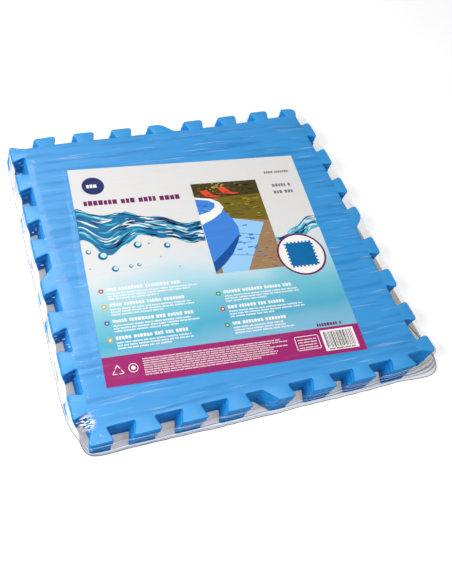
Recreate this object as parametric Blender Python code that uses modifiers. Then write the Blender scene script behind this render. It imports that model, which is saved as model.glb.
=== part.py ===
"""A shrink-wrapped stack of interlocking foam mats with a printed card on top. Metres, +Z up.

The stack stands on Z = 0, centred on the Z axis. Its near side faces -Y.
"""

import math

import bmesh
import bpy

# Foam mats
MAT_COUNT = 9
MAT_PITCH = 0.500  # side of the square that one mat covers when mats are joined
MAT_THICKNESS = 0.004
TEETH = 8  # teeth on each side, with as many sockets between them
TOOTH_DEPTH = 0.019
TOOTH_FLARE = 0.003  # how far each flank leans out from the middle of its height
MIDDLE_LEAN = 0.0093  # the flank in the middle of a side leans the other way
CORNER_CUT = 0.012  # the last socket's floor ends this far before the corner
TOOTH_ROUND = 0.0022  # cut across each corner of the outline

# Printed card
CARD_SIDE = 0.373
CARD_THICKNESS = 0.0004
CARD_CENTRE = (-0.010, -0.0175)
CARD_TURN = math.radians(-4.2)

# Shrink film, in an upper and a lower web joined by a trim seal
FILM_THICKNESS = 0.0004
FILM_CORNER = 0.014
LIP_WIDTH = 0.007
SEAL_RADIUS = 0.0006

GAP = 0.0003  # between pieces that touch
CORNER_STEPS = 5

MAT_STEP = MAT_THICKNESS + GAP
FIRST_MAT = FILM_THICKNESS + GAP
CARD_BOTTOM = FIRST_MAT + MAT_COUNT * MAT_STEP
FILM_TOP = CARD_BOTTOM + CARD_THICKNESS + GAP + FILM_THICKNESS
SKIRT_HALF = MAT_PITCH / 2 + TOOTH_DEPTH / 2 + GAP + FILM_THICKNESS
LIP_HALF = SKIRT_HALF + LIP_WIDTH


def clear_scene():
    for obj in list(bpy.data.objects):
        bpy.data.objects.remove(obj, do_unlink=True)


def material(name, colour, roughness, alpha=1.0):
    made = bpy.data.materials.new(name)
    made.use_nodes = True
    shader = made.node_tree.nodes["Principled BSDF"]
    shader.inputs["Base Color"].default_value = (*colour, 1.0)
    shader.inputs["Roughness"].default_value = roughness
    shader.inputs["Metallic"].default_value = 0.0
    shader.inputs["Alpha"].default_value = alpha
    return made


def add_object(name, data, finish, collection, height=0.0):
    obj = bpy.data.objects.new(name, data)
    obj.location.z = height
    data.materials.append(finish)
    collection.objects.link(obj)
    return obj


def side_corners():
    """One side's corners as (along, out): along runs from the side's left corner, and out is 0 half-way up a tooth."""
    flank = MAT_PITCH / (2 * TEETH)
    tip, floor = TOOTH_DEPTH / 2, -TOOTH_DEPTH / 2
    corners = [(0.0, tip)]
    for tooth in range(1, TEETH + 1):
        right = (2 * tooth - 1) * flank
        corners += [(right + TOOTH_FLARE, tip), (right - TOOTH_FLARE, floor)]
        if tooth == TEETH:
            corners.append((MAT_PITCH - CORNER_CUT, floor))
            continue
        lean = -MIDDLE_LEAN if 2 * tooth == TEETH else TOOTH_FLARE
        corners += [(right + flank + lean, floor), (right + flank - lean, tip)]
    return corners


def mat_corners():
    """The four sides in turn, near, right, far and left, about the middle of the mat."""
    half = MAT_PITCH / 2
    corners = []
    for turn in range(4):
        cosine, sine = round(math.cos(turn * math.pi / 2)), round(math.sin(turn * math.pi / 2))
        for along, out in side_corners():
            x, y = along - half, -half - out
            corners.append((x * cosine - y * sine, x * sine + y * cosine))
    return corners


def cut_corners(corners, cut):
    """Each corner becomes two points, that far along its edges."""
    outline = []
    for i, (x, y) in enumerate(corners):
        for other_x, other_y in (corners[i - 1], corners[(i + 1) % len(corners)]):
            share = cut / math.hypot(other_x - x, other_y - y)
            outline.append((x + (other_x - x) * share, y + (other_y - y) * share))
    return outline


def rounded_square(half, radius):
    """Points of a square with round corners, turning left from the near right corner."""
    points = []
    for corner in range(4):
        start = (corner - 1) * math.pi / 2
        middle = start + math.pi / 4
        reach = (half - radius) * math.sqrt(2)
        for step in range(CORNER_STEPS + 1):
            angle = start + step * math.pi / 2 / CORNER_STEPS
            points.append(
                (
                    reach * math.cos(middle) + radius * math.cos(angle),
                    reach * math.sin(middle) + radius * math.sin(angle),
                )
            )
    return points


def closed_curve(name, points, dimensions):
    curve = bpy.data.curves.new(name, "CURVE")
    curve.dimensions = dimensions
    spline = curve.splines.new("POLY")
    spline.points.add(len(points) - 1)
    for point, (x, y) in zip(spline.points, points):
        point.co = (x, y, 0.0, 1.0)
    spline.use_cyclic_u = True
    return curve


def plate(name, outline, bottom, thickness, finish, collection):
    curve = closed_curve(name, outline, "2D")
    curve.fill_mode = "BOTH"
    curve.extrude = thickness / 2
    return add_object(name, curve, finish, collection, bottom + thickness / 2)


def make_mats(finish, collection):
    outline = cut_corners(mat_corners(), TOOTH_ROUND)
    for number in range(1, MAT_COUNT + 1):
        bottom = FIRST_MAT + (number - 1) * MAT_STEP
        plate(f"mat_{number}", outline, bottom, MAT_THICKNESS, finish, collection)


def make_card(finish, collection):
    half = CARD_SIDE / 2
    outline = [(-half, -half), (half, -half), (half, half), (-half, half)]
    card = plate("printed_card", outline, CARD_BOTTOM, CARD_THICKNESS, finish, collection)
    card.location.x, card.location.y = CARD_CENTRE
    card.rotation_euler.z = CARD_TURN


def make_lower_film(finish, collection):
    outline = rounded_square(LIP_HALF, FILM_CORNER + LIP_WIDTH)
    plate("lower_film", outline, 0.0, FILM_THICKNESS, finish, collection)


def make_upper_film(finish, collection):
    """Top panel, skirt and lip as one open surface, thickened inwards."""
    bottom = FILM_THICKNESS + GAP
    rings = (
        (rounded_square(SKIRT_HALF, FILM_CORNER), FILM_TOP),
        (rounded_square(SKIRT_HALF, FILM_CORNER), bottom + FILM_THICKNESS),
        (rounded_square(LIP_HALF, FILM_CORNER + LIP_WIDTH), bottom + FILM_THICKNESS),
    )
    mesh = bmesh.new()
    loops = [[mesh.verts.new((x, y, height)) for x, y in ring] for ring, height in rings]
    mesh.faces.new(loops[0])
    for upper, lower in zip(loops, loops[1:]):
        for i in range(len(upper)):
            mesh.faces.new((upper[i - 1], lower[i - 1], lower[i], upper[i]))
    bmesh.ops.recalc_face_normals(mesh, faces=mesh.faces)
    data = bpy.data.meshes.new("upper_film")
    mesh.to_mesh(data)
    mesh.free()
    film = add_object("upper_film", data, finish, collection)
    solidify = film.modifiers.new("Thickness", "SOLIDIFY")
    solidify.thickness = FILM_THICKNESS
    solidify.offset = -1.0
    solidify.use_even_offset = True


def make_seal(finish, collection):
    """The bead that the hot wire leaves round the edge of the two webs."""
    half = LIP_HALF + GAP + SEAL_RADIUS
    outline = rounded_square(half, FILM_CORNER + half - SKIRT_HALF)
    curve = closed_curve("trim_seal", outline, "3D")
    curve.bevel_depth = SEAL_RADIUS
    curve.bevel_resolution = 2
    add_object("trim_seal", curve, finish, collection, FILM_THICKNESS + GAP)


def main():
    clear_scene()
    collection = bpy.data.collections.new("wrapped_foam_mats")
    bpy.context.scene.collection.children.link(collection)
    foam = material("blue_foam", (0.055, 0.30, 0.72), 0.75)
    paper = material("printed_paper", (0.80, 0.82, 0.84), 0.55)
    film = material("clear_film", (0.95, 0.97, 1.00), 0.10, alpha=0.20)
    seal = material("seal_film", (0.33, 0.30, 0.28), 0.35)
    make_mats(foam, collection)
    make_card(paper, collection)
    make_lower_film(film, collection)
    make_upper_film(film, collection)
    make_seal(seal, collection)


main()
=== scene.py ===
"""Looks of a shrink-wrapped stack of interlocking foam mats with a printed card on top.

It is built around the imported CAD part, in its frame: metres, +Z up, the near side facing -Y.
"""

import math
import random

import bpy
from mathutils import Matrix, Vector, noise
from mathutils.geometry import delaunay_2d_cdt


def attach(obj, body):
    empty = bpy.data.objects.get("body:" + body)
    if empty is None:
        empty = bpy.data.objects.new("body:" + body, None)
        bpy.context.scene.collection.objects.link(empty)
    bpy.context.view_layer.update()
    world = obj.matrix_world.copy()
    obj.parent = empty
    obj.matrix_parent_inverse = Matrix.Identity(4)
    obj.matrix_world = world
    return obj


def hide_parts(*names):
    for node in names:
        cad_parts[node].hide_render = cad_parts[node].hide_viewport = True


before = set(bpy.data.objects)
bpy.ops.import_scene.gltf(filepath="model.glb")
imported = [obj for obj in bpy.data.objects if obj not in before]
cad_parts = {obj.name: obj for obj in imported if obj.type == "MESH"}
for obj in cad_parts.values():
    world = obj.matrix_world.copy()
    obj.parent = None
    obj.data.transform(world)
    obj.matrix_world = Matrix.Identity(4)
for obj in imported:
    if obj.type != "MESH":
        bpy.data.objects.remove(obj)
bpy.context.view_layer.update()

# Foam mats
MAT_COUNT = 9
PITCH = 0.500
THICKNESS = 0.0041
MAT_STEP = 0.0043
FIRST_MAT = 0.0007
TEETH = 8
TOOTH_DEPTH = 0.019
TOOTH_FLARE = 0.003
MIDDLE_LEAN = 0.0093
CORNER_CUT = 0.012
SOCKET_ROUND = 0.0028
# Near, right, far and left: the film rounds some sides more.
TIP_ROUND = (0.0036, 0.0085, 0.0080, 0.0042)
# The corners at the left end of each side.
CORNER_ROUND = (0.008, 0.012, 0.016, 0.006)
EDGE_ROUND = 0.0011
STACK_TOP = FIRST_MAT + (MAT_COUNT - 1) * MAT_STEP + THICKNESS
HALF = PITCH / 2
TIP = TOOTH_DEPTH / 2

# Printed card
CARD_SIDE = 0.373
CARD_CENTRE = (-0.010, -0.0175)
CARD_TURN = math.radians(-4.2)
CARD_TOP = STACK_TOP + 0.0006
FIRST_INK = 0.00004
INK_STEP = 0.000012
STREAK_STEPS = 12
CARD_UNITS = 370  # the print is laid out on a card of this many units
CARD_UNIT = CARD_SIDE / CARD_UNITS

# Shrink film
FILM_LIFT = 0.0006
FILM_REST = CARD_TOP + FILM_LIFT
FILM_FLOOR = 0.0012


def linear(red, green, blue):
    """A display colour of 0 to 255 as the linear one that a shader takes."""
    return tuple(
        c / 12.92 if c <= 0.04045 else ((c + 0.055) / 1.055) ** 2.4
        for c in (red / 255, green / 255, blue / 255)
    )


def smooth(low, high, value):
    share = min(max((value - low) / (high - low), 0.0), 1.0)
    return share * share * (3 - 2 * share)


def lerp(a, b, share):
    return a + (b - a) * share


def lerp_pair(a, b, share):
    return (lerp(a[0], b[0], share), lerp(a[1], b[1], share))


def material(name, colour, roughness, **inputs):
    made = bpy.data.materials.new(name)
    made.use_nodes = True
    shader = made.node_tree.nodes["Principled BSDF"]
    shader.inputs["Base Color"].default_value = (*colour, 1.0)
    shader.inputs["Roughness"].default_value = roughness
    for key, value in inputs.items():
        shader.inputs[key.replace("_", " ")].default_value = value
    return made


def mesh_object(name, points, faces, materials, slots=None):
    mesh = bpy.data.meshes.new(name)
    mesh.from_pydata(points, [], faces)
    mesh.validate()
    for made in materials:
        mesh.materials.append(made)
    if slots:
        mesh.polygons.foreach_set("material_index", slots)
    mesh.update()
    obj = bpy.data.objects.new(name, mesh)
    bpy.context.scene.collection.objects.link(obj)
    return obj


# --- The outline of a mat -------------------------------------------------------------


def side_corners():
    """One side's corners as (along, out), from its left corner. Out is 0 half-way up a tooth."""
    flank = PITCH / (2 * TEETH)
    corners = [(0.0, TIP)]
    for tooth in range(1, TEETH + 1):
        right = (2 * tooth - 1) * flank
        corners += [(right + TOOTH_FLARE, TIP), (right - TOOTH_FLARE, -TIP)]
        if tooth == TEETH:
            corners.append((PITCH - CORNER_CUT, -TIP))
            continue
        lean = -MIDDLE_LEAN if 2 * tooth == TEETH else TOOTH_FLARE
        corners += [(right + flank + lean, -TIP), (right + flank - lean, TIP)]
    return corners


def on_side(turn, along, out):
    """A point given along and out of a side. Sides 0 to 3 are near, right, far and left."""
    x, y = along - HALF, -HALF - out
    for _ in range(turn):
        x, y = -y, x
    return Vector((x, y))


def mat_corners():
    """All corners in turn, each with how far it is eased."""
    corners = []
    for turn in range(4):
        for along, out in side_corners():
            cut = TIP_ROUND[turn] if out > 0 else SOCKET_ROUND
            if along == 0:
                cut = CORNER_ROUND[turn]
            corners.append((on_side(turn, along, out), cut))
    return corners


def rounded(corners, steps, spacing):
    """The polygon with each corner eased, and points no further apart than spacing."""
    outline = []
    for i, (corner, cut) in enumerate(corners):
        before, _ = corners[i - 1]
        after, after_cut = corners[(i + 1) % len(corners)]
        start = corner + (before - corner).normalized() * cut
        end = corner + (after - corner).normalized() * cut
        for step in range(steps + 1):
            t = step / steps
            outline.append(start * (1 - t) ** 2 + corner * 2 * t * (1 - t) + end * t * t)
        run = after + (corner - after).normalized() * after_cut - end
        parts = max(1, math.ceil(run.length / spacing))
        outline += [end + run * (k / parts) for k in range(1, parts)]
    return outline


def inset(outline, depth):
    """The outline moved inwards. It turns left, so its left side is inside."""
    moved = []
    for i, point in enumerate(outline):
        ahead = (outline[(i + 1) % len(outline)] - outline[i - 1]).normalized()
        moved.append(point + Vector((-ahead.y, ahead.x)) * depth)
    return moved


# --- How the stack departs from flat and square ---------------------------------------


def squeeze(x, y):
    """How much lower the stack is here, as a share of its height."""
    reach = max(abs(x), abs(y)) / HALF
    corner = smooth(0.295, 0.372, math.hypot(x, y))
    edge = smooth(0.90, 1.05, reach)
    wave = 0.5 + 0.5 * noise.noise(Vector((x * 9, y * 9, 3.1)))
    return 0.125 * corner + 0.035 * edge * (0.4 + wave)


def settled(x, y, z):
    """The height of a point of the stack as the film leaves it."""
    return z * (1 - squeeze(x, y))


def pushed(x, y, share):
    """A point with the stack's two right corners drawn out of square, more at the top, where share is 1.

    The mats are cut square. This mostly makes up for the camera, which doesn't fit well there.
    """
    near_right = share * smooth(0.295, 0.365, math.hypot(x, y)) if x > 0 > y else 0.0
    far_right = share * smooth(0.24, 0.345, math.hypot(x, y)) if x > 0 < y else 0.0
    moved_x = x + 0.010 * near_right - 0.004 * far_right
    moved_y = y + 0.006 * near_right + 0.008 * far_right
    return moved_x, moved_y


# --- Foam mats ------------------------------------------------------------------------


def foam_material(name, colour, roughness, specular):
    foam = material(name, colour, roughness, Specular_IOR_Level=specular)
    nodes, links = foam.node_tree.nodes, foam.node_tree.links
    shader = nodes["Principled BSDF"]
    grain = nodes.new("ShaderNodeTexNoise")
    grain.inputs["Scale"].default_value = 900
    grain.inputs["Detail"].default_value = 3
    place = nodes.new("ShaderNodeTexCoord")
    bump = nodes.new("ShaderNodeBump")
    bump.inputs["Strength"].default_value = 0.12
    bump.inputs["Distance"].default_value = 0.0004
    links.new(place.outputs["Object"], grain.inputs["Vector"])
    links.new(grain.outputs["Fac"], bump.inputs["Height"])
    links.new(bump.outputs["Normal"], shader.inputs["Normal"])
    return foam


def mat_cap(outline):
    """Triangles that fill the outline, with points inside it close enough to bend."""
    inside = []
    spacing, limit, fine_border = 0.009, HALF - TIP - 0.004, 0.07
    count = int(limit / spacing)
    for i in range(-count, count + 1):
        for j in range(-count, count + 1):
            x, y = i * spacing, j * spacing
            if max(abs(x), abs(y)) > HALF - fine_border or (i % 3 == 0 and j % 3 == 0):
                inside.append(Vector((x, y)))
    made = delaunay_2d_cdt(outline + inside, [], [list(range(len(outline)))], 1, 1e-6)
    assert len(made[0]) == len(outline) + len(inside)
    return inside, [tuple(face) for face in made[2]]


def mat_rings():
    """The edge's profile, top to bottom, as (inset, height)."""
    rings = []
    for step in range(4):
        angle = step * math.pi / 6
        depth, drop = EDGE_ROUND * (1 - math.sin(angle)), EDGE_ROUND * (1 - math.cos(angle))
        rings.append((depth, THICKNESS - drop))
    return rings + [(depth, THICKNESS - height) for depth, height in reversed(rings)]


def make_mats(foam, shaded_cut_edge):
    outline = rounded(mat_corners(), 6, 0.0055)
    rings = mat_rings()
    layers = [inset(outline, depth) for depth, _ in rings]
    inside, cap = mat_cap(layers[0])
    count = len(outline)
    flat = [(point, height) for layer, (_, height) in zip(layers, rings) for point in layer]
    flat += [(point, THICKNESS) for point in inside] + [(point, 0.0) for point in inside]
    faces = []
    for ring in range(len(rings) - 1):
        upper, lower = ring * count, (ring + 1) * count
        for i in range(count):
            after = (i + 1) % count
            faces.append((upper + i, lower + i, lower + after, upper + after))
    # The walls take slot 1, the cut-edge material: a matte cut finish with a darker blue that is painted
    # shade.
    slots = [1] * len(faces)
    top_inside, bottom_ring = len(rings) * count, (len(rings) - 1) * count
    bottom_inside = top_inside + len(inside)
    for face in cap:
        faces.append(tuple(i if i < count else top_inside + i - count for i in face))
        under = (bottom_ring + i if i < count else bottom_inside + i - count for i in reversed(face))
        faces.append(tuple(under))
    slots += [0] * (len(faces) - len(slots))
    chance = random.Random(7)
    for number in range(1, MAT_COUNT + 1):
        below = (MAT_COUNT - number) / (MAT_COUNT - 1)
        shift_x = -0.0052 * below + (chance.uniform(-0.0007, 0.0007) if below else 0)
        shift_y = 0.0015 * below + (chance.uniform(-0.0005, 0.0005) if below else 0)
        turn = math.radians(chance.uniform(-0.08, 0.08)) if below else 0.0
        cosine, sine = math.cos(turn), math.sin(turn)
        bottom = FIRST_MAT + (number - 1) * MAT_STEP
        points = []
        for point, height in flat:
            held_in = smooth(0.32, 0.36, point.length) if point.x < 0 > point.y else 0.0
            x = point.x * cosine - point.y * sine + shift_x * (1 - 1.4 * held_in)
            y = point.x * sine + point.y * cosine + shift_y
            z = settled(x, y, bottom + height)
            points.append((*pushed(x, y, (bottom + height) / STACK_TOP), z))
        mat = mesh_object(f"foam_mat_{number}", points, faces, [foam, shaded_cut_edge], slots)
        mat.data.polygons.foreach_set("use_smooth", [True] * len(mat.data.polygons))
        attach(mat, f"mat_{number}")
        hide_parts(f"mat_{number}")


# --- Printed card ---------------------------------------------------------------------


def card_point(u, v, lift=0.0):
    """A point of the card's layout in the part's frame, u and v units from its near left corner."""
    x, y = (u - CARD_UNITS / 2) * CARD_UNIT, (v - CARD_UNITS / 2) * CARD_UNIT
    cosine, sine = math.cos(CARD_TURN), math.sin(CARD_TURN)
    return (
        CARD_CENTRE[0] + x * cosine - y * sine,
        CARD_CENTRE[1] + x * sine + y * cosine,
        CARD_TOP + lift,
    )


INKS = {
    "navy": (30, 42, 104),
    "purple": (112, 26, 92),
    "plum": (158, 34, 108),
    "white": (240, 238, 236),
    "grey": (120, 116, 130),
    "black": (40, 34, 40),
    "deep": (18, 62, 112),
    "teal": (16, 112, 158),
    "cyan": (74, 178, 206),
    "pale": (206, 232, 240),
    "leaf": (66, 58, 26),
    "lawn": (112, 98, 22),
    "straw": (190, 160, 60),
    "stone": (156, 124, 92),
    "coral": (226, 74, 44),
    "pool": (60, 130, 214),
    "pool_dark": (8, 78, 150),
    "tile": (150, 200, 240),
    "icon": (0, 104, 164),
    "dot_red": (190, 60, 50),
    "dot_green": (60, 130, 80),
    "dot_gold": (220, 170, 40),
    "dot_blue": (60, 70, 150),
}


CARD_STOPS = (  # the paper's colour from the near side to the far side
    (0.10, (130, 186, 213)),
    (0.175, (118, 180, 209)),
    (0.23, (80, 171, 201)),
    (0.34, (116, 190, 209)),
    (0.44, (176, 214, 226)),
    (0.53, (214, 221, 226)),
    (0.62, (221, 220, 219)),
)


class Print:
    """The card's print as flat shapes. A shape of a higher level lies a little above the others."""

    def __init__(self):
        self.points, self.faces, self.slots = [], [], []
        self.inks = list(INKS)

    def shape(self, points, ink, level):
        first = len(self.points)
        lift = FIRST_INK + INK_STEP * level
        self.points += [card_point(u, v, lift) for u, v in points]
        self.faces.append(tuple(range(first, first + len(points))))
        self.slots.append(self.inks.index(ink))

    def bar(self, left, low, right, high, ink, level):
        self.shape([(left, low), (right, low), (right, high), (left, high)], ink, level)

    def disc(self, u, v, radius, ink, level, steps=40):
        turns = [math.tau * k / steps for k in range(steps)]
        self.shape([(u + radius * math.cos(a), v + radius * math.sin(a)) for a in turns], ink, level)

    def ring(self, u, v, radius, width, ink, level, steps=48):
        inner = radius - width
        for k in range(steps):
            a, b = math.tau * k / steps, math.tau * (k + 1) / steps
            corners = ((inner, a), (radius, a), (radius, b), (inner, b))
            self.shape([(u + r * math.cos(t), v + r * math.sin(t)) for r, t in corners], ink, level)

    def words(self, left, low, right, height, ink, chance, level, letter=0.62, gap=0.22):
        """Blocks in the rhythm of a line of text: no letters."""
        u = left
        while u < right:
            for _ in range(chance.randint(3, 8)):
                wide = height * letter * chance.uniform(0.75, 1.15)
                if u + wide > right:
                    return
                tall = height * chance.uniform(0.86, 1.0)
                self.bar(u, low, u + wide, low + tall, ink, level)
                u += wide + height * gap
            u += height * 0.5

    def stroke(self, path, widths, ink, level):
        """A ribbon along path, as wide at each point as widths says."""
        left, right = [], []
        for i, (u, v) in enumerate(path):
            before, after = path[max(i - 1, 0)], path[min(i + 1, len(path) - 1)]
            ahead = Vector((after[0] - before[0], after[1] - before[1]))
            across = Vector((-ahead.y, ahead.x)).normalized() * widths[i] / 2
            left.append((u + across.x, v + across.y))
            right.append((u - across.x, v - across.y))
        for i in range(len(path) - 1):
            self.shape([right[i], right[i + 1], left[i + 1], left[i]], ink, level)


def ink_material(name, colour):
    return material(f"ink_{name}", linear(*colour), 0.42, Specular_IOR_Level=0.25)


def wide_water_top(u):
    """The upper edge of the water to the left of the picture."""
    return 293 - 13 * smooth(0, 22, u) - 32 * smooth(55, 190, u) + 3 * math.sin(u / 9)


def wide_water_low(u):
    dip = 30 * math.exp(-(((u - 42) / 24) ** 2))
    return 233 - dip - 22 * smooth(88, 184, u) + 2.5 * math.sin(u / 7 + 1)


def narrow_water_top(u):
    """The upper edge of the water to the right of the picture."""
    return 206 + 38 * smooth(292, 372, u) + 2 * math.sin(u / 5)


def narrow_water_low(u):
    return 199 + 22 * smooth(330, 370, u) + 2 * math.sin(u / 6)


def water(sheet, chance, start, end, low, high, strokes, inks):
    """Streaks of water between two edges, over a plain fill."""
    for k in range(strokes):
        ink = chance.choice(inks)
        share = chance.random()
        length = chance.uniform(10, 70) * (1.2 if ink in ("teal", "deep") else 0.7)
        u0 = chance.uniform(start - 0.4 * length, end - 0.3 * length)
        wide = chance.uniform(1.2, 7.5) * (1.0 if ink in ("teal", "deep") else 0.55)
        path, widths = [], []
        phase, sway = chance.uniform(0, 6), chance.uniform(0.5, 3.0)
        for i in range(STREAK_STEPS + 1):
            u = u0 + length * i / STREAK_STEPS
            if not start <= u <= end:
                continue
            bottom, top = low(u), high(u)
            v = lerp(bottom, top, share) + sway * math.sin(phase + u / 9)
            fat = wide * math.sin(math.pi * (i + 0.35) / (STREAK_STEPS + 0.7))
            v = min(max(v, bottom + fat / 2), top - fat / 2)
            path.append((u, v))
            widths.append(fat)
        if len(path) > 2:
            sheet.stroke(path, widths, ink, 2 + k % 6)


def fill_between(sheet, start, end, low, high, ink, level, steps=40):
    edge = [start + (end - start) * k / steps for k in range(steps + 1)]
    for a, b in zip(edge, edge[1:]):
        sheet.shape([(a, low(a)), (b, low(b)), (b, high(b)), (a, high(a))], ink, level)


def picture(sheet, chance):
    """A generic garden scene: a round pool, loungers, grass, paving and a run of pale tiles."""
    left, right, low, high = 185, 293, 153, 324
    sheet.bar(left, low, right, high, "leaf", 1)
    for _ in range(90):
        u, v = chance.uniform(left, right - 6), chance.uniform(292, high - 3)
        ink = "straw" if 205 < u < 236 and v > 306 else chance.choice(["leaf", "black", "lawn"])
        sheet.bar(u, v, u + chance.uniform(2, 6), v + chance.uniform(1, 3), ink, 2)
    sheet.shape([(left, 240), (right, 240), (right, 296), (230, 294), (left, 292)], "lawn", 3)
    for _ in range(70):
        u, v = chance.uniform(left, right - 12), chance.uniform(242, 290)
        ink = chance.choice(["leaf", "lawn", "straw", "leaf"])
        sheet.bar(u, v, u + chance.uniform(4, 12), v + chance.uniform(0.6, 1.6), ink, 4)
    sheet.shape([(left, low), (right, low), (right, 241), (250, 249), (left, 252)], "stone", 5)
    for _ in range(60):
        u, v = chance.uniform(238, right - 8), chance.uniform(low + 1, 236)
        sheet.bar(u, v, u + chance.uniform(3, 8), v + 0.7, chance.choice(["leaf", "straw"]), 6)
    sheet.shape([(196, low), (235, low), (283, 238), (235, 251), (196, 200)], "tile", 7)
    for _ in range(16):
        u = chance.uniform(222, 262)
        v = chance.uniform(170, 240)
        sheet.bar(u, v, u + chance.uniform(3, 10), v + chance.uniform(1, 4), "pool", 8)
    for joint in ([(218, 184), (254, 178)], [(236, 222), (274, 214)]):
        sheet.stroke(joint, [0.8, 0.8], "icon", 8)
    for shift_u, shift_v in ((0, 0), (30, 4)):
        u, v = 196 + shift_u, 297 + shift_v
        sheet.shape([(u, v + 12), (u + 12, v + 13), (u + 20, v + 2), (u + 6, v + 1)], "coral", 9)
        sheet.shape([(u + 12, v + 3), (u + 34, v - 1), (u + 24, v - 3), (u + 6, v)], "coral", 9)
    foot = [(left, 155), (203, 169), (219, 185), (233, 206), (239, 220)]
    sheet.shape(foot + [(240, 234), (235, 250), (224, 270), (left, 262)], "pool", 10)
    sheet.shape(foot + [(230, 212), (212, 194), (left, 172)], "pool_dark", 11)
    rim = [(left, 243), (206, 253), (220, 263), (227, 273), (222, 284), (210, 292), (left, 297)]
    sheet.shape(rim, "white", 12)
    sheet.shape([(left, 262), (203, 267), (213, 275), (214, 283), (205, 289), (left, 293)], "pool", 13)
    for _ in range(12):
        u, v = chance.uniform(left, 204), chance.uniform(266, 284)
        sheet.bar(u, v, u + chance.uniform(2, 8), v + 0.9, chance.choice(["pool_dark", "tile"]), 14)


def mat_icon(sheet, left, low, side, ink, level):
    """A small toothed square."""
    teeth, step = 7, side / 14
    points = []
    for turn in range(4):
        for k in range(teeth):
            for along, out in ((2 * k, 1), (2 * k + 1, 1), (2 * k + 1, 0), (2 * k + 2, 0)):
                x, y = along * step - side / 2, -side / 2 - out * step * 0.8
                for _ in range(turn):
                    x, y = -y, x
                points.append((left + side / 2 + x, low + side / 2 + y))
    sheet.shape(points, ink, level)


def card_sheet():
    """The card as a grid, with its layout from 0 to 1 as UVs."""
    steps = 30
    row = steps + 1
    grid = [(CARD_UNITS * i / steps, CARD_UNITS * j / steps) for j in range(row) for i in range(row)]
    faces = [
        (j * row + i, j * row + i + 1, (j + 1) * row + i + 1, (j + 1) * row + i)
        for j in range(steps)
        for i in range(steps)
    ]
    card = mesh_object("card_sheet", [card_point(u, v) for u, v in grid], faces, [card_material()])
    layout = card.data.uv_layers.new(name="layout")
    for loop in card.data.loops:
        i, j = loop.vertex_index % row, loop.vertex_index // row
        layout.data[loop.index].uv = (i / steps, j / steps)
    return card


def heading(sheet, chance):
    """A plain disc and a line of blocks at the top, and three short lines at the right."""
    sheet.disc(34, 335, 17, "navy", 1)
    sheet.words(24, 331.5, 46, 7.0, "white", random.Random(2), 2, 0.7, 0.16)
    sheet.words(15, 297.2, 170, 9.6, "purple", random.Random(5), 1, 0.64, 0.15)
    for left, low, right, height in ((312, 335, 356, 4.6), (318, 306, 351, 6.4), (317, 292, 351, 6.4)):
        sheet.words(left, low, right, height, "grey", chance, 1)


def splash(sheet, chance):
    """The water on both sides of the picture, and its drops."""
    wide_inks = ["deep", "teal", "teal", "cyan", "cyan", "pale", "white", "white"]
    fill_between(sheet, 0, 184, wide_water_low, wide_water_top, "teal", 1)
    water(sheet, chance, 0, 184, wide_water_low, wide_water_top, 170, wide_inks)
    narrow_inks = ["teal", "cyan", "cyan", "pale", "pale", "white"]
    fill_between(sheet, 293.5, CARD_UNITS, narrow_water_low, narrow_water_top, "cyan", 1)
    water(sheet, chance, 293.5, CARD_UNITS, narrow_water_low, narrow_water_top, 44, narrow_inks)
    for u, v, size in ((28, 204, 7), (9, 213, 4), (42, 180, 5), (65, 182, 3), (77, 183, 3), (81, 218, 6)):
        sheet.disc(u, v, size, "teal", 8, 16)
        sheet.disc(u + 0.2 * size, v + 0.2 * size, 0.62 * size, "pale", 9, 16)
    for u, v, size in ((124, 212, 5), (98, 219, 1.6), (111, 193, 1.2), (135, 173, 1.2), (7, 184, 1.2)):
        sheet.disc(u, v, size, "teal", 8, 14)
        sheet.disc(u + 0.25 * size, v + 0.2 * size, 0.5 * size, "pale", 9, 14)


def dotted_lines(sheet, chance):
    """Two columns of coloured dots, each with one tall and three low lines of blocks."""
    columns = (
        (16, ((145, "dot_red"), (119.6, "dot_gold"), (93.6, "dot_blue"), (67.5, "dot_gold"))),
        (179.5, ((119.5, "dot_green"), (93.8, "dot_red"), (67.3, "dot_green"))),
    )
    for u, dots in columns:
        for v, ink in dots:
            sheet.disc(u, v, 3.6, ink, 1, 20)
            sheet.disc(u, v, 1.5, "white", 2, 14)
            wide = chance.uniform(78, 118)
            sheet.words(u + 8, v - 0.6, u + 8 + wide, 5.2, "white", chance, 1, 0.68, 0.2)
            for line in range(3):
                wide = chance.uniform(74, 140) if line < 2 else chance.uniform(60, 96)
                sheet.words(u + 8, v - 6.6 - 4.3 * line, u + 8 + wide, 2.5, "white", chance, 1, 0.6, 0.26)


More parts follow.
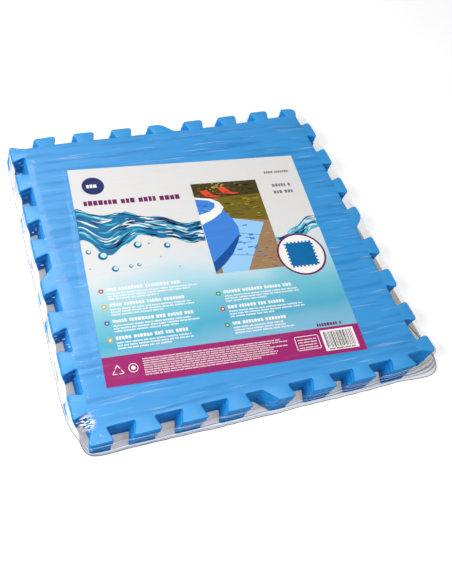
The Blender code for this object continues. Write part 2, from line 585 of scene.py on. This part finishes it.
def foot_band(sheet, chance):
    """The band along the card's near side: two small marks, lines of blocks, a frame and a bar code."""
    sheet.bar(0, 0, CARD_UNITS, 43, "plum", 1)
    triangle = [(11, 17), (26, 17), (18.5, 30)]
    for a, b in zip(triangle, triangle[1:] + triangle[:1]):
        sheet.stroke([a, lerp_pair(a, b, 0.42)], [1.1, 1.1], "white", 2)
        sheet.stroke([lerp_pair(a, b, 0.58), b], [1.1, 1.1], "white", 2)
    sheet.ring(39, 23, 6.6, 1.0, "white", 2, 30)
    sheet.disc(39, 23, 3.0, "white", 2, 20)
    for line in range(8):
        wide = chance.uniform(150, 208)
        sheet.words(53, 33 - 3.3 * line, 53 + wide, 1.7, "white", chance, 2, 0.6, 0.3)
    left, low, right, high = 268, 12, 304, 34
    sheet.bar(left, low, right, low + 1, "white", 2)
    sheet.bar(left, high - 1, right, high, "white", 2)
    sheet.bar(left, low, left + 1, high, "white", 2)
    sheet.bar(right - 1, low, right, high, "white", 2)
    for line in range(4):
        sheet.words(272, 27.5 - 4.2 * line, 300, 1.8, "white", chance, 2, 0.6, 0.3)
    sheet.bar(309, 6, 360, 39, "white", 2)
    u = 313.0
    while u < 356:
        wide = chance.choice([0.7, 0.7, 1.1, 1.6])
        sheet.bar(u, 11, u + wide, 36, "black", 3)
        u += wide + chance.choice([0.7, 1.0, 1.5])
    sheet.words(315, 7.4, 355, 2.4, "black", chance, 3)
    sheet.words(308, 45.5, 346, 5.0, "purple", chance, 1)


def make_card():
    card = card_sheet()
    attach(card, "card")
    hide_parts("printed_card")

    chance = random.Random(21)
    sheet = Print()
    heading(sheet, chance)
    splash(sheet, chance)
    picture(sheet, chance)
    sheet.disc(325, 172, 37.5, "white", 12)
    sheet.ring(325, 172, 38.5, 3.0, "purple", 13)
    mat_icon(sheet, 304, 151, 42, "icon", 14)
    dotted_lines(sheet, chance)
    foot_band(sheet, chance)

    inks = [ink_material(name, colour) for name, colour in INKS.items()]
    marks = mesh_object("card_print", sheet.points, sheet.faces, inks, sheet.slots)
    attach(marks, "card")


def card_material():
    """White at the far side, turning to aqua near the band, with soft light patches."""
    paper = material("card_paper", (0.8, 0.8, 0.8), 0.42, Specular_IOR_Level=0.25)
    nodes, links = paper.node_tree.nodes, paper.node_tree.links
    place = nodes.new("ShaderNodeUVMap")
    place.uv_map = "layout"
    split = nodes.new("ShaderNodeSeparateXYZ")
    links.new(place.outputs["UV"], split.inputs["Vector"])
    patches = nodes.new("ShaderNodeTexNoise")
    patches.inputs["Scale"].default_value = 3.5
    patches.inputs["Detail"].default_value = 2.0
    links.new(place.outputs["UV"], patches.inputs["Vector"])
    slant = math_node(nodes, links, "MULTIPLY_ADD", split.outputs["X"], -0.10, split.outputs["Y"])
    drift = math_node(nodes, links, "MULTIPLY_ADD", patches.outputs["Fac"], 0.16, slant)
    ramp = nodes.new("ShaderNodeValToRGB")
    elements = ramp.color_ramp.elements
    while len(elements) < len(CARD_STOPS):
        elements.new(0.5)
    for element, (where, colour) in zip(elements, CARD_STOPS):
        element.position = where
        element.color = (*linear(*colour), 1.0)
    links.new(drift, ramp.inputs["Fac"])
    links.new(ramp.outputs["Color"], nodes["Principled BSDF"].inputs["Base Color"])
    return paper


# --- Shrink film ----------------------------------------------------------------------

# Near, right, far and left: how far the film sinks between two teeth, and how far out the seam is.
DIP = (0.0024, 0.0060, 0.0060, 0.0030)
LIP_REACH = (0.2630, 0.2640, 0.2645, 0.2662)
# Where the seam leaves that line: direction and width in degrees, and how far it moves out.
LIP_BUMPS = ((-137, 3.0, -0.0080), (-126, 8, -0.0020), (-52, 6, -0.0010), (-40, 5.5, 0.0190))
LIP_SQUARENESS = 22
FILM_GAP = 0.0007
FILM_BASE = 0.0004
SKIRT_ROWS = 14
BEAD_RADIUS = 0.0005
# The glint here is painted: white laid on the film, not a reflection.
GLINT = (-0.243, -0.229, 0.036)  # the middle of the white glint over the last left socket


def film_rim():
    """Where the film turns down over the tips of the teeth, dipping in between them."""
    flank = PITCH / (2 * TEETH)
    corners = []
    for turn in range(4):
        out, ease = TIP + FILM_GAP, 0.8 * TIP_ROUND[turn]
        corners.append((on_side(turn, 0.0, out), 0.8 * CORNER_ROUND[turn]))
        for tooth in range(1, TEETH + 1):
            right = (2 * tooth - 1) * flank + TOOTH_FLARE
            corners.append((on_side(turn, right, out), ease))
            if tooth < TEETH:
                narrower = TOOTH_FLARE - MIDDLE_LEAN if 2 * tooth == TEETH else 2 * TOOTH_FLARE
                left = right + flank - narrower
                corners.append((on_side(turn, (left + right) / 2, out - DIP[turn]), (left - right) * 0.3))
                corners.append((on_side(turn, left, out), ease))
    return [Vector(pushed(point.x, point.y, 1.0)) for point in rounded(corners, 4, 0.0028)]


def lip_reach(x, y):
    """How far the seam is from the middle in this direction, measured as on a square."""
    angle = math.atan2(y, x)
    weights = [max(0.0, -y), max(0.0, x), max(0.0, y), max(0.0, -x)]
    weights = [w**6 for w in weights]
    reach = sum(w * r for w, r in zip(weights, LIP_REACH)) / sum(weights)
    reach += 0.0016 * noise.noise(Vector((math.cos(angle) * 7, math.sin(angle) * 7, 1.7)))
    reach += 0.0006 * noise.noise(Vector((math.cos(angle) * 30, math.sin(angle) * 30, 4.2)))
    for middle, width, bump in LIP_BUMPS:
        reach += bump * math.exp(-(((math.degrees(angle) - middle) / width) ** 2))
    return reach


def lip_point(point):
    """Where the seam is in the direction of this point, on a square with eased corners."""
    x, y = abs(point.x) ** LIP_SQUARENESS, abs(point.y) ** LIP_SQUARENESS
    return point * (lip_reach(point.x, point.y) / (x + y) ** (1 / LIP_SQUARENESS))


def wrinkle(x, y):
    """The height of the film's pull lines on the top, which run mostly along X."""
    bend = 0.016 * noise.noise(Vector((x * 6, y * 6, 0.3)))
    across = y + bend - 0.14 * x * (0.5 + noise.noise(Vector((x * 3, y * 3, 5.0))))
    fine = noise.noise(Vector((x * 16, across * 150, 0.0)))
    broad = noise.noise(Vector((x * 7, across * 55, 2.0)))
    strip = smooth(0.10, 0.21, max(abs(x - CARD_CENTRE[0]), abs(y - CARD_CENTRE[1])))
    return (0.00016 * fine + 0.00026 * broad) * (0.10 + 0.90 * strip)


def crumple(x, y):
    """How far the film stands off where it is bunched: at the two near corners and over the left sockets."""
    corner = smooth(0.315, 0.345, math.hypot(x, y)) if y < 0 else 0.0
    left = 0.7 * smooth(HALF - TIP - 0.004, HALF - TIP + 0.004, -x)
    return 0.0011 * max(corner, left) * abs(noise.noise(Vector((x * 120, y * 150, 7))))


def film_top(x, y):
    """The film's height over the stack: over the card, down beside it, and down towards the tips."""
    u, v = x - CARD_CENTRE[0], y - CARD_CENTRE[1]
    cosine, sine = math.cos(CARD_TURN), math.sin(CARD_TURN)
    beside = max(abs(u * cosine + v * sine), abs(v * cosine - u * sine)) - CARD_SIDE / 2
    drop = (FILM_REST - STACK_TOP - FILM_LIFT) * smooth(0.0, 0.012, beside)
    reach = max(abs(x), abs(y))
    edge = smooth(HALF - TIP - 0.01, HALF + TIP, reach)
    turn = 0.0004 * smooth(HALF + TIP - 0.0012, HALF + TIP + 0.0006, reach)
    return settled(x, y, FILM_REST - drop) + abs(wrinkle(x, y)) * (1 - 0.7 * edge) + crumple(x, y) - turn


def film_grid():
    """Points inside the rim: close together near the edges, wider in the middle, and none in the corners."""
    inside = []
    spacing, limit = 0.0026, HALF + TIP - 0.0045
    steps = int(limit / spacing)
    for i in range(-steps, steps + 1):
        for j in range(-steps, steps + 1):
            x, y = i * spacing, j * spacing
            fine = max(abs(x), abs(y)) > 0.165
            in_corner = abs(x) + abs(y) > 2 * HALF - 0.022
            if not in_corner and (fine or (i % 2 == 0 and j % 2 == 0)):
                inside.append(Vector((x, y)))
    return inside


def skirt_point(top, height, depth):
    """A point of the skirt below the rim's point top, depth being its share of the way to the seam."""
    left_side = smooth(0.15, 0.24, -top.x) * smooth(0.30, 0.24, abs(top.y))
    flare = smooth(0.35, 1.0, depth) ** 1.3
    flare = lerp(flare, 0.64 * depth + 0.36 * depth**3, left_side)
    place = top.lerp(lip_point(top), flare)
    angle = math.atan2(top.y, top.x)
    z = lerp(height, FILM_FLOOR, depth**0.9)
    ring = Vector((math.cos(angle), math.sin(angle), 0))
    crease = noise.noise(ring * 9 + Vector((0, 0, z * 170)))
    fold = noise.noise(ring * 42 + Vector((0, 0, z * 30 + 9)))
    body = math.sin(math.pi * min(depth, 0.999))
    bunched = smooth(0.33, 0.36, place.length) * abs(noise.noise(ring * 90 + Vector((0, 0, z * 40))))
    push = (0.0007 * abs(crease) + 0.0009 * abs(fold) * depth + 0.0016 * bunched) * body
    place = place * (1 + push / place.length)
    return place.x, place.y, z


def make_upper_film(rim, clear):
    count, inside = len(rim), film_grid()
    made = delaunay_2d_cdt(rim + inside, [], [list(range(count))], 1, 1e-6)
    assert len(made[0]) == count + len(inside)
    points = [(p.x, p.y, film_top(p.x, p.y)) for p in rim + inside]
    faces = [tuple(face) for face in made[2]]
    rows = [range(count)]
    for row in range(1, SKIRT_ROWS + 1):
        rows.append(range(len(points), len(points) + count))
        points += [skirt_point(top, points[i][2], row / SKIRT_ROWS) for i, top in enumerate(rim)]
    for upper, lower in zip(rows, rows[1:]):
        for i in range(count):
            after = (i + 1) % count
            faces.append((upper[i], lower[i], lower[after], upper[after]))
    film = mesh_object("film_upper", points, faces, [clear])
    film.data.polygons.foreach_set("use_smooth", [True] * len(film.data.polygons))
    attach(film, "wrap_top")
    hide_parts("upper_film")


def make_lower_film(seam, beige):
    points = [(p.x, p.y, FILM_BASE) for p in seam]
    under = mesh_object("film_lower", points, [tuple(range(len(seam)))], [beige])
    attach(under, "wrap_base")
    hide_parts("lower_film")


def make_seam(seam, finish):
    """The bead along the seam, which rises and thickens a little here and there."""
    curve = bpy.data.curves.new("seam", "CURVE")
    curve.dimensions = "3D"
    curve.bevel_depth = BEAD_RADIUS
    curve.bevel_resolution = 2
    line = curve.splines.new("POLY")
    line.points.add(len(seam) - 1)
    for spot, point in zip(line.points, seam):
        lift = 0.0004 * noise.noise(Vector((point.x * 20, point.y * 20, 8)))
        spot.co = (point.x, point.y, FILM_FLOOR - 0.0001 + max(lift, 0), 1)
        spot.radius = 1 + 0.4 * noise.noise(Vector((point.x * 60, point.y * 60, 2)))
    line.use_cyclic_u = True
    bead = bpy.data.objects.new("seam_bead", curve)
    bead.data.materials.append(finish)
    bpy.context.scene.collection.objects.link(bead)
    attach(bead, "wrap_base")
    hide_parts("trim_seal")


def from_object(nodes, links):
    """The point in the object's own coordinates, and its X, Y and Z apart."""
    place = nodes.new("ShaderNodeTexCoord").outputs["Object"]
    split = nodes.new("ShaderNodeSeparateXYZ")
    links.new(place, split.inputs["Vector"])
    return place, split.outputs


def mixed(nodes, links, share, first, second):
    """Two shaders mixed, with share of the second. Share is a number or a socket."""
    mix = nodes.new("ShaderNodeMixShader")
    if isinstance(share, (int, float)):
        mix.inputs["Fac"].default_value = share
    else:
        links.new(share, mix.inputs["Fac"])
    links.new(first, mix.inputs[1])
    links.new(second, mix.inputs[2])
    return mix.outputs["Shader"]


def math_node(nodes, links, operation, *values):
    """A math node fed with sockets or numbers; it returns its output."""
    node = nodes.new("ShaderNodeMath")
    node.operation = operation
    for socket, value in zip(node.inputs, values):
        if isinstance(value, (int, float)):
            socket.default_value = value
        else:
            links.new(value, socket)
    return node.outputs["Value"]


def ramp_node(nodes, links, value, low, high, low_to=0.0, high_to=1.0):
    node = nodes.new("ShaderNodeMapRange")
    node.interpolation_type = "SMOOTHSTEP"
    for key, number in (("From Min", low), ("From Max", high), ("To Min", low_to), ("To Max", high_to)):
        node.inputs[key].default_value = number
    links.new(value, node.inputs["Value"])
    return node.outputs["Result"]


def streaks(nodes, links, place, scale, turn, detail):
    """Noise drawn out into lines: it varies fast along an axis of large scale. Turn is in degrees."""
    stretch = nodes.new("ShaderNodeMapping")
    stretch.inputs["Scale"].default_value = scale
    stretch.inputs["Rotation"].default_value = tuple(math.radians(a) for a in turn)
    links.new(place, stretch.inputs["Vector"])
    lines = nodes.new("ShaderNodeTexNoise")
    lines.inputs["Scale"].default_value = 1.0
    lines.inputs["Detail"].default_value = detail
    links.new(stretch.outputs["Vector"], lines.inputs["Vector"])
    return lines.outputs["Fac"]


def film_material():
    """Clear film: it mirrors softly. Painted highlights are laid on it as white in hairlines, skirt lines
    and where it gathers above the seam, with painted glints and a painted sheen on the left skirt; painted
    shade darkens what shows through it.
    """
    clear = bpy.data.materials.new("clear_film")
    clear.use_nodes = True
    nodes, links = clear.node_tree.nodes, clear.node_tree.links
    nodes.remove(nodes["Principled BSDF"])
    place, axes = from_object(nodes, links)

    def product(*values):
        return math_node(nodes, links, "MULTIPLY", *values)

    def largest(*values):
        return math_node(nodes, links, "MAXIMUM", *values)

    def size_of(value):
        return math_node(nodes, links, "ABSOLUTE", value)

    def ramp(*values):
        return ramp_node(nodes, links, *values)

    # Where things are: beside the card, within the outline, on the near and left sides, on the skirt.
    on_card = nodes.new("ShaderNodeMapping")
    on_card.vector_type = "TEXTURE"
    on_card.inputs["Location"].default_value = (*CARD_CENTRE, 0)
    on_card.inputs["Rotation"].default_value = (0, 0, CARD_TURN)
    links.new(place, on_card.inputs["Vector"])
    from_card = nodes.new("ShaderNodeSeparateXYZ")
    links.new(on_card.outputs["Vector"], from_card.inputs["Vector"])
    far_out = largest(*(size_of(from_card.outputs[axis]) for axis in "XY"))
    reach = largest(*(size_of(axes[axis]) for axis in "XY"))
    inner = ramp(reach, HALF - TIP + 0.001, HALF - TIP - 0.003)
    strip = product(ramp(far_out, CARD_SIDE / 2 - 0.002, CARD_SIDE / 2 + 0.004), inner)
    near = ramp(axes["Y"], -HALF + 0.03, -HALF + 0.012)
    left = ramp(axes["X"], -HALF + 0.03, -HALF + 0.012)
    between_corners = ramp(size_of(axes["Y"]), HALF - 0.005, HALF - 0.018)
    skirt = ramp(axes["Z"], 0.0345, 0.0315)

    # Painted highlights laid on the film as white: hairlines beside the card, lines on the near and left
    # skirt, streaks above the seam, a glint, glint specks and a painted sheen on the left skirt.
    pull = streaks(nodes, links, place, (9, 150, 60), (0, 0, -5), 4.0)
    hair = streaks(nodes, links, place, (13, 330, 60), (0, 0, -14), 2.0)
    thin = streaks(nodes, links, place, (2.4, 9, 420), (0, 3.5, 0), 2.0)
    fleck = streaks(nodes, links, place, (190, 560, 120), (0, 0, -20), 1.0)
    # Painted highlights: white hairlines, mostly beside the card.
    hair_highlights = product(ramp(hair, 0.60, 0.74, 0.0, 0.20), largest(strip, 0.2))
    crisp = ramp(thin, 0.60, 0.64)
    # Painted highlights: thin white lines on the near skirt, weaker on the left skirt.
    lines = product(product(crisp, 0.85), product(skirt, largest(near, product(left, 0.5))))
    # Painted highlights: white streaks where the film gathers above the seam, on the near and left sides.
    above_seam = product(ramp(axes["Z"], 0.013, 0.003), largest(near, left))
    gathered_highlights = product(above_seam, ramp(thin, 0.44, 0.60, 0.0, 0.6))
    # Painted glint: white flecks around GLINT.
    glint_distance = nodes.new("ShaderNodeVectorMath")
    glint_distance.operation = "DISTANCE"
    glint_distance.inputs[1].default_value = GLINT
    links.new(place, glint_distance.inputs[0])
    glint = product(ramp(glint_distance.outputs["Value"], 0.014, 0.004), ramp(fleck, 0.43, 0.50, 0.0, 0.95))
    # Painted glints: white specks over the left side.
    glint_specks = product(product(left, 0.6), ramp(fleck, 0.70, 0.73))
    # Painted sheen: the left skirt whitened between the corners, on the lit side.
    left_painted_sheen = product(product(left, product(skirt, between_corners)), ramp(thin, 0.36, 0.56, 0.40, 0.78))
    painted_highlights = largest(largest(largest(hair_highlights, glint), left_painted_sheen), largest(glint_specks, largest(lines, gathered_highlights)))

    # What is seen through it: painted shade along the pull lines beside the card, and dark painted shade in
    # lines on the near skirt.
    through = nodes.new("ShaderNodeBsdfTransparent")
    shade = nodes.new("ShaderNodeValToRGB")
    shade.color_ramp.elements[0].position = 0.34
    shade.color_ramp.elements[0].color = (0.84, 0.86, 0.88, 1)
    shade.color_ramp.elements[1].position = 0.50
    shade.color_ramp.elements[1].color = (0.98, 0.978, 0.972, 1)
    links.new(largest(pull, math_node(nodes, links, "SUBTRACT", 1.0, strip)), shade.inputs["Fac"])
    # Painted shade: dark lines on the near skirt darken what shows through.
    fold = nodes.new("ShaderNodeMix")
    fold.data_type = "RGBA"
    fold.inputs["B"].default_value = (0.40, 0.46, 0.56, 1)
    links.new(shade.outputs["Color"], fold.inputs["A"])
    links.new(product(product(skirt, near), ramp(thin, 0.49, 0.41)), fold.inputs["Factor"])
    links.new(fold.outputs["Result"], through.inputs["Color"])

    # The white that the painted highlights are made of.
    milk_and_highlights = nodes.new("ShaderNodeBsdfDiffuse")
    milk_and_highlights.inputs["Color"].default_value = (0.86, 0.89, 0.92, 1)
    bump = nodes.new("ShaderNodeBump")
    bump.inputs["Strength"].default_value = 0.4
    bump.inputs["Distance"].default_value = 0.0004
    links.new(pull, bump.inputs["Height"])
    gloss = nodes.new("ShaderNodeBsdfGlossy")
    gloss.inputs["Roughness"].default_value = 0.07
    links.new(bump.outputs["Normal"], gloss.inputs["Normal"])
    fresnel = nodes.new("ShaderNodeFresnel")
    fresnel.inputs["IOR"].default_value = 1.25
    mirrored = math_node(nodes, links, "MINIMUM", fresnel.outputs["Fac"], 0.16)
    mirrored = product(mirrored, largest(inner, largest(crisp, 0.12)))
    glossy = mixed(nodes, links, mirrored, through.outputs["BSDF"], gloss.outputs["BSDF"])
    surface = mixed(nodes, links, painted_highlights, glossy, milk_and_highlights.outputs["BSDF"])
    links.new(surface, nodes["Material Output"].inputs["Surface"])
    return clear


def base_film_material():
    """The lower film, which lies flat: beige over the table, partly its own tint and partly painted shade of
    the table beneath, and paler outside the near teeth.
    """
    beige = bpy.data.materials.new("base_film")
    beige.use_nodes = True
    nodes, links = beige.node_tree.nodes, beige.node_tree.links
    nodes.remove(nodes["Principled BSDF"])
    _, axes = from_object(nodes, links)
    # Painted shade: the darker colour A, used everywhere but outside the near teeth, is partly the film's
    # own beige and partly the table's shade beneath.
    tint_and_painted_shade = nodes.new("ShaderNodeMix")
    tint_and_painted_shade.data_type = "RGBA"
    tint_and_painted_shade.inputs["A"].default_value = (0.76, 0.72, 0.69, 1)
    tint_and_painted_shade.inputs["B"].default_value = (0.98, 0.98, 0.99, 1)
    links.new(ramp_node(nodes, links, axes["Y"], -HALF + 0.002, -HALF - 0.010), tint_and_painted_shade.inputs["Factor"])
    through = nodes.new("ShaderNodeBsdfTransparent")
    links.new(tint_and_painted_shade.outputs["Result"], through.inputs["Color"])
    milk_and_highlights = nodes.new("ShaderNodeBsdfDiffuse")
    milk_and_highlights.inputs["Color"].default_value = (0.80, 0.76, 0.73, 1)
    surface = mixed(nodes, links, 0.2, through.outputs["BSDF"], milk_and_highlights.outputs["BSDF"])
    links.new(surface, nodes["Material Output"].inputs["Surface"])
    return beige


# --- Stage, lights and camera -----------------------------------------------------------


def make_stage():
    size, z = 4.0, -0.0004
    points = [(-size, -size, z), (size, -size, z), (size, size, z), (-size, size, z)]
    mesh_object("floor", points, [(0, 1, 2, 3)], [floor_material()])


def floor_material():
    """A white table top that glows a little, so that it stays white, and mirrors a little."""
    table = material("white_table", (0.95, 0.95, 0.95), 0.5)
    nodes, links = table.node_tree.nodes, table.node_tree.links
    shader = nodes["Principled BSDF"]
    shader.inputs["Emission Color"].default_value = (1, 1, 1, 1)
    shader.inputs["Emission Strength"].default_value = 0.43
    gloss = nodes.new("ShaderNodeBsdfGlossy")
    gloss.inputs["Color"].default_value = (1, 1, 1, 1)
    gloss.inputs["Roughness"].default_value = 0.12
    surface = mixed(nodes, links, 0.22, shader.outputs["BSDF"], gloss.outputs["BSDF"])
    links.new(surface, nodes["Material Output"].inputs["Surface"])
    return table


def aim(obj, target, roll=0.0):
    back = obj.location - Vector(target)
    turn = back.to_track_quat("Z", "Y").to_matrix().to_4x4()
    obj.matrix_world = Matrix.Translation(obj.location) @ turn @ Matrix.Rotation(math.radians(roll), 4, "Z")


def softbox(name, place, target, width, height, power):
    light = bpy.data.lights.new(name, "AREA")
    light.shape = "RECTANGLE"
    light.size, light.size_y = width, height
    light.energy = power
    obj = bpy.data.objects.new(name, light)
    bpy.context.scene.collection.objects.link(obj)
    obj.location = place
    aim(obj, target)


def make_lights():
    world = bpy.data.worlds.new("studio")
    world.use_nodes = True
    sky = world.node_tree.nodes["Background"]
    sky.inputs["Color"].default_value = (1, 1, 1, 1)
    sky.inputs["Strength"].default_value = 0.19
    bpy.context.scene.world = world
    softbox("left_box", (-1.6, -0.3, 1.3), (0, 0, 0), 1.0, 0.8, 36)
    softbox("veil_box", (-0.55, 1.25, 1.84), (-0.1, 0.1, 0), 1.05, 1.05, 16)
    softbox("top_box", (0.3, -0.7, 2.1), (0, 0, 0), 1.2, 1.2, 18)


def make_camera():
    lens = bpy.data.cameras.new("camera")
    lens.lens = 43.67
    lens.sensor_width = 36.0
    lens.shift_x = 0.025
    camera = bpy.data.objects.new("camera", lens)
    bpy.context.scene.collection.objects.link(camera)
    camera.location = (-0.3364, -0.5628, 0.8795)
    aim(camera, (-0.0293, -0.0778, 0.0392), roll=17.09)
    bpy.context.scene.camera = camera


def main():
    bpy.context.scene.view_settings.view_transform = "Standard"
    face = foam_material("blue_foam", (0.026, 0.308, 0.715), 0.42, 1.0)
    # The walls' material: a matte cut finish, and a darker blue that is painted shade.
    make_mats(face, foam_material("blue_foam_edge_painted_shade", (0.006, 0.23, 0.62), 0.6, 0.15))
    make_card()
    rim = film_rim()
    seam = [lip_point(top) for top in rim]
    make_upper_film(rim, film_material())
    make_lower_film(seam, base_film_material())
    make_seam(seam, material("seal_bead", linear(74, 66, 62), 0.5, Specular_IOR_Level=0.1))
    make_stage()
    make_lights()
    make_camera()


main()
